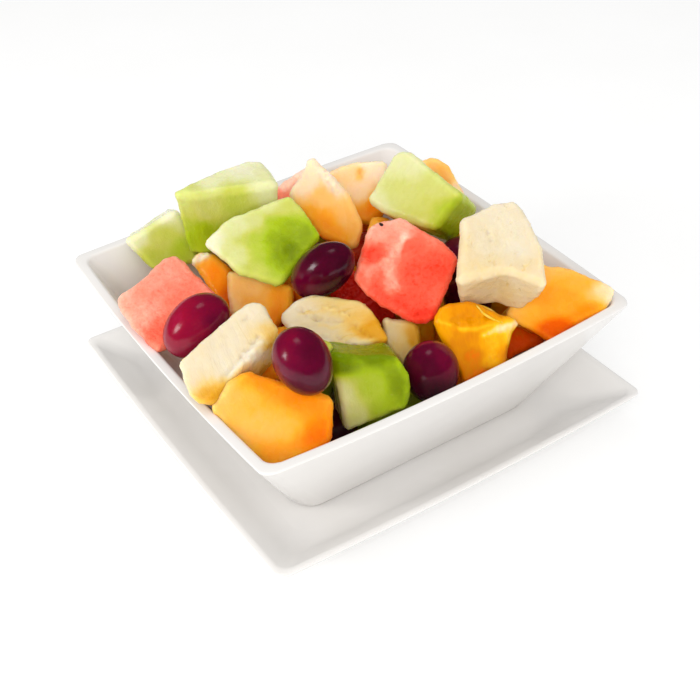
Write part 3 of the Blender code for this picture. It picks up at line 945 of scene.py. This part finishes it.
fruit_piece("orange_low", "orange", [(0.0, 0.5, 0.98), (0.0, -0.5, 1.1)],
            pulls=[(0.0, 0.6, 0.9, 0.0, 3.0 * MM)])
fruit_piece("orange_far", "orange", [(0.0, 0.6, 0.40), (0.0, -0.6, 0.70)])
print("orange is cut")

# %% [markdown]
# ## Grapes
# A red grape has a tight, glossy skin over clear flesh. It is nearly black where it is thick and
# wine red where light gets through. Cutting every edge into four with a smooth bulge rounds the
# faceted solid, which is all that such a plain body needs. The scar of its stalk is a small brown
# dimple at one end.


# %% The grape's skin
def grape_skin():
    skin = Finish("red grape", Subsurface_Weight=0.25, Subsurface_Scale=2.5 * MM,
                  Subsurface_Radius=(1.0, 0.1, 0.2), Coat_Weight=0.1, Coat_Roughness=0.05,
                  IOR=1.36)
    place = skin.where()
    cloud = skin.noise(place, 7 * MM, detail=3.0)
    fine = skin.noise(place, 1.0 * MM, detail=3.0)
    ripe = skin.stored("ripe") + 0.3 * (cloud - 0.5) + 0.12 * (fine - 0.5)
    stops = [(0.0, screen(168, 32, 76)), (0.3, screen(142, 4, 42)), (0.65, screen(96, 0, 38)),
             (1.0, screen(50, 0, 20))]
    scar = skin.stored("scar")
    skin.surface(Base_Color=skin.mix(scar, skin.ramp(ripe, stops), screen(120, 84, 50)),
                 Roughness=0.14 + 0.12 * cloud + 0.4 * scar)
    skin.bump(fine * 0.2 + cloud, 0.10 * MM)
    return skin.material


GRAPE = grape_skin()
print("made", GRAPE.name)

# %% [markdown]
# The scar sits at the grape's end. The same distance that presses in its dimple colours it.


# %% A grape
SCAR = 1.3 * MM                   # radius of the stalk's scar
DIMPLE = 0.7 * MM                 # and its depth


def grape(node, stalk, spots):
    """A grape whose stalk end points along stalk."""
    bm = bmesh.new()
    bm.from_mesh(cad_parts[node].data)
    bmesh.ops.remove_doubles(bm, verts=bm.verts, dist=WELD)
    bmesh.ops.subdivide_edges(bm, edges=bm.edges, cuts=3, use_grid_fill=True, smooth=1.0)
    bmesh.ops.triangulate(bm, faces=bm.faces)
    smooth(bm, 3)
    end = max(bm.verts, key=lambda point: point.co.dot(stalk)).co.copy()
    scar = bm.verts.layers.float.new("scar")
    for point in bm.verts:
        near = math.exp(-((point.co - end).length / SCAR) ** 2)
        point[scar] = near
        point.co -= stalk.normalized() * DIMPLE * near
    store_ripeness_and_shade(bm, spots, (), 0.1)
    return finished("red_" + node, bm, GRAPE, node)


# Each grape's spots make it darker towards its bottom, and most of them towards the right as well, away
# from the window: painted shade.
grape("grape_left", Vector((0.3, 0.9, -0.2)), [(-0.5, 0.2, 0.30), (0.0, -0.2, 0.42), (0.7, 0.2, 0.6)])
grape("grape_front", Vector((0.9, 0.4, -0.3)), [(-0.4, 0.2, 0.58), (0.5, 0.3, 0.76), (0.2, -0.7, 0.84)])
grape("grape_top", Vector((0.6, 0.6, 0.2)), [(0.0, 0.0, 0.90), (-0.6, -0.4, 0.75), (0.5, -0.7, 1.0)])
grape("grape_right", Vector((0.2, 0.7, -0.5)), [(0.0, 0.2, 0.80), (0.4, 0.5, 0.6), (0.0, -0.7, 0.95)])
for hidden, top in (("grape_back", 0.75), ("grape_low", 0.9), ("grape_sunk", 0.9)):
    grape(hidden, Vector((0.5, 0.5, -0.5)), [(0.0, 0.5, top), (0.0, -0.5, 1.0)])
print("grapes are in")

# %% [markdown]
# ## Torn bits
# A knife that comes out of an orange takes strips of its thin inner skin with it, and a few hang
# off the chunk. The place of each end is looked up on the finished surface, by how far across and
# up a piece it lies, so the strips lie on the fruit and not beside it.


# %% A place on a piece
def touch(piece, u, v, lift=0.0):
    """The place on the side of a piece that shows, u across and v up it, raised by lift."""
    points = piece.data.vertices
    best, least = None, math.inf
    for point, (x, y) in zip(points, seen(points)):
        miss = (x - u) ** 2 + (y - v) ** 2
        if miss < least and point.normal.dot(FACING) > 0.1:
            best, least = point, miss
    return best.co + best.normal * lift


print("places can be found on a piece")


# %% Strands
STRAND_STEPS = 14
STRAND_SIDES = 8


def strand(bm, places, thick):
    """A bent tube from the first place to the last, drawn towards the middle one."""
    start, pulled, end = places
    spine = [start * (1 - t) ** 2 + pulled * 2 * t * (1 - t) + end * t ** 2
             for t in (step / STRAND_STEPS for step in range(STRAND_STEPS + 1))]
    rings = []
    for number, place in enumerate(spine):
        ahead = spine[min(number + 1, STRAND_STEPS)] - spine[max(number - 1, 0)]
        radius = thick / 2 * (0.6 + 0.4 * math.sin(math.pi * number / STRAND_STEPS))
        turned = Matrix.Translation(place) @ ahead.to_track_quat("Z", "Y").to_matrix().to_4x4()
        ring = bmesh.ops.create_circle(bm, segments=STRAND_SIDES, radius=radius, matrix=turned)["verts"]
        rings.append(list({edge for point in ring for edge in point.link_edges}))
    for lower, upper in zip(rings, rings[1:]):
        bmesh.ops.bridge_loops(bm, edges=lower + upper)


print("strands can be made")

# %% Torn bits
strands = bmesh.new()
orange_chunk, pine_chunk = PIECES["orange_piece"], PIECES["pineapple_right"]
strand(strands, [touch(orange_chunk, 0.16, 0.74), touch(orange_chunk, 0.22, 0.62, 0.6 * MM),
                 touch(orange_chunk, 0.60, 0.46)], 0.9 * MM)
strand(strands, [touch(orange_chunk, 0.16, 0.74), touch(orange_chunk, 0.05, 0.86, 0.9 * MM),
                 touch(pine_chunk, -0.7, -0.9)], 0.7 * MM)
strand(strands, [touch(orange_chunk, 0.62, 0.46), touch(orange_chunk, 0.5, 0.8, 1.0 * MM),
                 touch(pine_chunk, -0.5, -0.95)], 0.8 * MM)
bmesh.ops.recalc_face_normals(strands, faces=strands.faces)
lay_grain(strands, STRAIGHT_UP, 1.0)
store_ripeness_and_shade(strands, [(0.0, 0.0, 0.26)], (), 0.0)
added("orange_strands", strands, FINISHES["orange"])
print("torn bits lie on the fruit")

# %% [markdown]
# One melon seed stuck to the fruit when it was cut: a small flat drop shape, dark and shiny.


# %% A seed
def seed_coat():
    coat = Finish("seed coat", Coat_Weight=0.3)
    grain = coat.noise(coat.where(), 0.6 * MM, detail=3.0)
    coat.surface(Base_Color=coat.mix(grain, screen(58, 30, 16), screen(20, 8, 4)),
                 Roughness=0.3 + 0.2 * grain)
    coat.bump(grain, 0.1 * MM)
    return coat.material


seed = bmesh.new()
bmesh.ops.create_icosphere(seed, subdivisions=3, radius=1.0)
for point in seed.verts:
    point.co.x *= 1.0 - 0.45 * point.co.y
bmesh.ops.scale(seed, verts=seed.verts, vec=Vector((0.6, 1.1, 0.45)) * MM)
bmesh.ops.translate(seed, verts=seed.verts, vec=touch(PIECES["watermelon_big"], -0.45, 0.86, 0.1 * MM))
added("melon_seed", seed, seed_coat())
print("one seed")

# %% [markdown]
# ## The fruit below
# The chunks that lie lower down show only in the gaps, so they get a coarser skin. Their colour just
# deepens from the top down, darker towards the bottom, as their shade would hide anything finer.

# %% The fruit below
LOWER_WORDS = ("base", "under", "corner", "back_left", "back_middle")
LOWER_COARSE = 1.6                # how much wider the faces of their skin are
LOWER_RIPENESS = {"honeydew": 0.75, "cantaloupe": 0.8, "watermelon": 0.9, "pineapple": 0.6,
                  "orange": 0.8}
lower_nodes = [node for node in sorted(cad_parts)
               if any(word in node for word in LOWER_WORDS)]
for node in lower_nodes:
    kind = node.split("_")[0]
    ripe = LOWER_RIPENESS[kind]
    fruit_piece(node, kind, [(-0.5, 0.6, ripe - 0.15), (0.5, 0.0, ripe), (0.0, -0.8, ripe + 0.1)],
                coarse=LOWER_COARSE)
print(len(lower_nodes), "lower chunks")

# %% [markdown]
# ## Floor, light and camera
# The bowl stands on a white table in an even, soft light: a window to its left, a lamp overhead
# and, strongest of all, a big soft lamp in front, which shiny things don't mirror. The table glows
# a little, as a light table does, which lifts the shadows. It is wide enough that its edge is
# never seen.


# %% Floor
def floor_finish():
    card = Finish("white table", Roughness=0.6, Emission_Color=screen(255, 255, 255),
                  Emission_Strength=0.25)
    grey = card.noise(card.where(), 60 * MM, detail=4.0)
    card.surface(Base_Color=card.mix(grey, screen(222, 222, 222), screen(218, 218, 217)))
    return card.material


FLOOR_SIZE = 30.0                 # metres a side
sheet = bmesh.new()
bmesh.ops.create_grid(sheet, x_segments=2, y_segments=2, size=FLOOR_SIZE / 2)
table_top = placed("table_top", sheet)
table_top.data.materials.append(floor_finish())
print("the table top is", FLOOR_SIZE, "m wide")


# %% Light
def lamp(name, place, size, power, colour, mirrored):
    """A square soft lamp that looks at the bowl. Shiny things mirror it, or don't."""
    light = bpy.data.lights.new(name, "AREA")
    light.shape = "SQUARE"
    light.size = size
    light.energy = power
    light.color = colour
    holder = bpy.data.objects.new(name, light)
    holder.location = place
    holder.rotation_euler = (Vector(place) - middle_of("bowl")).to_track_quat("Z", "Y").to_euler()
    holder.visible_glossy = mirrored
    bpy.context.collection.objects.link(holder)


lamp("window", place=(-0.90, 0.15, 0.45), size=0.27, power=2.5, colour=(1.0, 0.99, 0.97),
     mirrored=True)
lamp("overhead", place=(0.0, 0.20, 1.10), size=0.30, power=0.56, colour=(1.0, 1.0, 1.0),
     mirrored=True)
lamp("fill", place=(-0.50, -0.84, 0.72), size=0.80, power=7.6, colour=(1.0, 0.99, 0.98),
     mirrored=False)
print("three lamps")

# %% [markdown]
# The white room lights everything from all sides. Shiny things would mirror all of it and look
# milky, so in a studio dark cloth hangs where only reflections see it. Here the room is dimmer for
# the rays that come from reflections.

# %% Room
ROOM, ROOM_MIRRORED = 0.84, 0.06
world = bpy.data.worlds.new("white room")
world.use_nodes = True
path = world.node_tree.nodes.new("ShaderNodeLightPath")
dimmer = world.node_tree.nodes.new("ShaderNodeMapRange")
dimmer.inputs["To Min"].default_value = ROOM
dimmer.inputs["To Max"].default_value = ROOM_MIRRORED
background = world.node_tree.nodes["Background"]
background.inputs["Color"].default_value = (1.0, 1.0, 1.0, 1.0)
world.node_tree.links.new(path.outputs["Is Glossy Ray"], dimmer.inputs["Value"])
world.node_tree.links.new(dimmer.outputs["Result"], background.inputs["Strength"])
bpy.context.scene.world = world
bpy.context.scene.view_settings.view_transform = "Standard"
print("the room is", ROOM, "bright")

# %% [markdown]
# The camera looks down at the front corner. It is turned a little about its own axis, as one held
# in the hand is.

# %% Camera
AIM = Vector((5.37, 9.09, 15.4)) * MM
DISTANCE = 484.7 * MM
SENSOR, FOCAL_LENGTH = 36.0, 62.9  # millimetres, as a camera's own settings are
AZIMUTH, ELEVATION, ROLL = (math.radians(angle) for angle in (-30.7, 38.15, -3.7))
away = Vector((math.sin(AZIMUTH) * math.cos(ELEVATION),
               -math.cos(AZIMUTH) * math.cos(ELEVATION), math.sin(ELEVATION)))
lens = bpy.data.cameras.new("camera")
lens.sensor_width = SENSOR
lens.lens = FOCAL_LENGTH
lens.clip_start = 10 * MM
camera = bpy.data.objects.new("camera", lens)
camera.location = AIM + away * DISTANCE
turn = away.to_track_quat("Z", "Y") @ Quaternion((0, 0, 1), ROLL)
camera.rotation_euler = turn.to_euler()
bpy.context.collection.objects.link(camera)
bpy.context.scene.camera = camera
print("the camera stands at", [round(part, 3) for part in camera.location])
